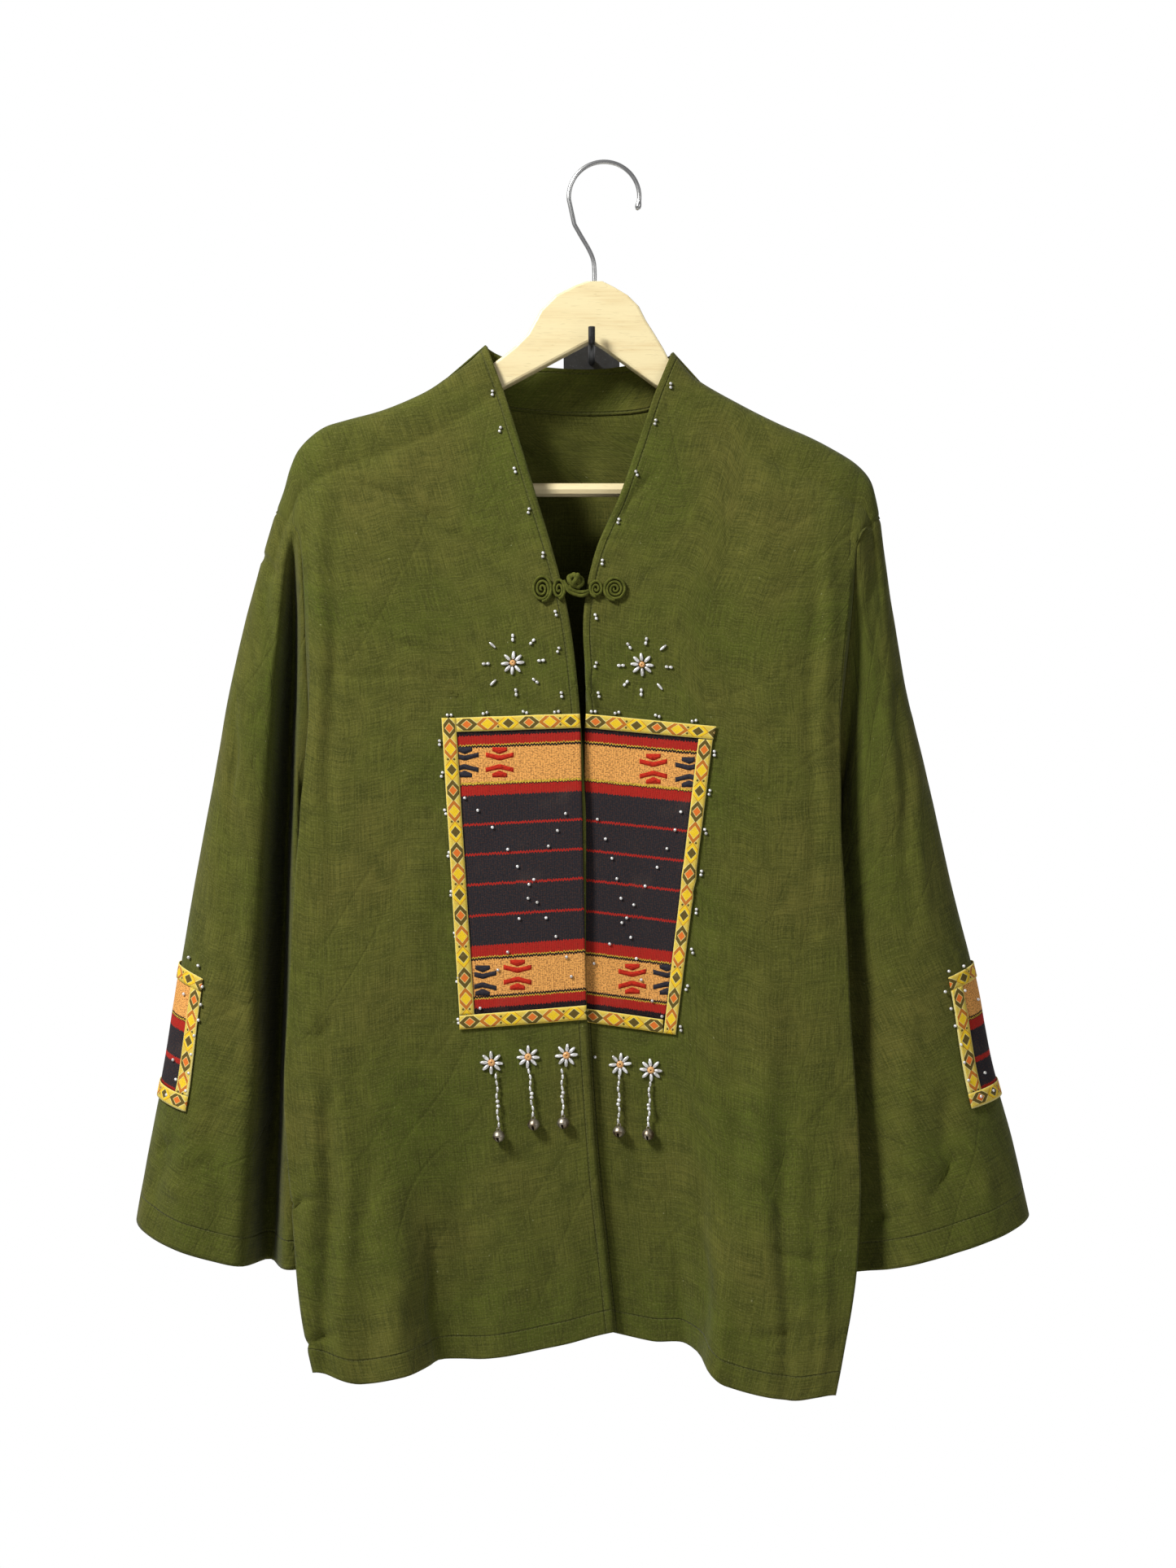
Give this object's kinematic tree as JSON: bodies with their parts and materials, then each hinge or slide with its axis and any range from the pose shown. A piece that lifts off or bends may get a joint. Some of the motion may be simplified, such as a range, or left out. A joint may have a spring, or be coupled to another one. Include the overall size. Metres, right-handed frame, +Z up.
{
  "type": "embroidered jacket on hanger and wall hook",
  "caption": "Open-front jacket with long flared sleeves, woven panels, bead strings and bells, hung on a wooden hanger from a wall hook.",
  "frame": {"origin": "middle of the wall hook plate's back face, on the wall", "axes": "+Z up, +Y into the wall, +X to the right of someone who looks at the jacket's front"},
  "size_m": [0.6396, 0.1508, 0.8765],
  "materials": {
    "green_cotton": "slubby olive-green plain-weave cotton",
    "woven_stripe": "striped weave in red, tan and charcoal",
    "ribbon": "patterned yellow, orange and dark brown ribbon",
    "pine": "pale sanded pine",
    "steel": "bright drawn wire",
    "black_paint": "satin black paint",
    "glass_beads": "silvery white beads on thread",
    "bell_metal": "dull stamped metal"
  },
  "bodies": {
    "root": {"back": "green_cotton", "back_collar": "green_cotton", "frog_coil_1": "green_cotton", "frog_coil_2": "green_cotton", "frog_coil_3": "green_cotton", "frog_coil_4": "green_cotton", "frog_knot": "green_cotton", "frog_loop": "green_cotton", "front_left": "green_cotton", "front_right": "green_cotton", "hanger_bar": "pine", "hanger_hook": "steel", "hanger_wood": "pine", "ribbon_bottom_left": "ribbon", "ribbon_bottom_right": "ribbon", "ribbon_side_left": "ribbon", "ribbon_side_right": "ribbon", "ribbon_top_left": "ribbon", "ribbon_top_right": "ribbon", "sleeve_left": "green_cotton", "sleeve_panel_left": "woven_stripe", "sleeve_panel_right": "woven_stripe", "sleeve_ribbon_back_left": "ribbon", "sleeve_ribbon_back_right": "ribbon", "sleeve_ribbon_bottom_left": "ribbon", "sleeve_ribbon_bottom_right": "ribbon", "sleeve_ribbon_front_left": "ribbon", "sleeve_ribbon_front_right": "ribbon", "sleeve_ribbon_top_left": "ribbon", "sleeve_ribbon_top_right": "ribbon", "sleeve_right": "green_cotton", "wall_hook_plate": "black_paint", "wall_hook_rod": "black_paint", "woven_panel_left": "woven_stripe", "woven_panel_right": "woven_stripe"},
    "swing_1": {"strand_1": "glass_beads", "bell_1": "bell_metal"},
    "swing_2": {"strand_2": "glass_beads", "bell_2": "bell_metal"},
    "swing_3": {"strand_3": "glass_beads", "bell_3": "bell_metal"},
    "swing_4": {"strand_4": "glass_beads", "bell_4": "bell_metal"},
    "swing_5": {"strand_5": "glass_beads", "bell_5": "bell_metal"}
  },
  "joints": [
    {"name": "strand_swing_1", "type": "hinge", "parent": "root", "child": "swing_1", "pos_m": [-0.06698, -0.12238, -0.519], "axis": [-1, 0, 0], "range_deg": [0, 60]},
    {"name": "strand_swing_2", "type": "hinge", "parent": "root", "child": "swing_2", "pos_m": [-0.044, -0.12237, -0.516], "axis": [-1, 0, 0], "range_deg": [0, 60]},
    {"name": "strand_swing_3", "type": "hinge", "parent": "root", "child": "swing_3", "pos_m": [-0.021, -0.12241, -0.516], "axis": [-1, 0, 0], "range_deg": [0, 60]},
    {"name": "strand_swing_4", "type": "hinge", "parent": "root", "child": "swing_4", "pos_m": [0.019, -0.11547, -0.521], "axis": [-1, 0, 0], "range_deg": [0, 60]},
    {"name": "strand_swing_5", "type": "hinge", "parent": "root", "child": "swing_5", "pos_m": [0.04068, -0.11621, -0.52602], "axis": [-1, 0, 0], "range_deg": [0, 60]}
  ]
}
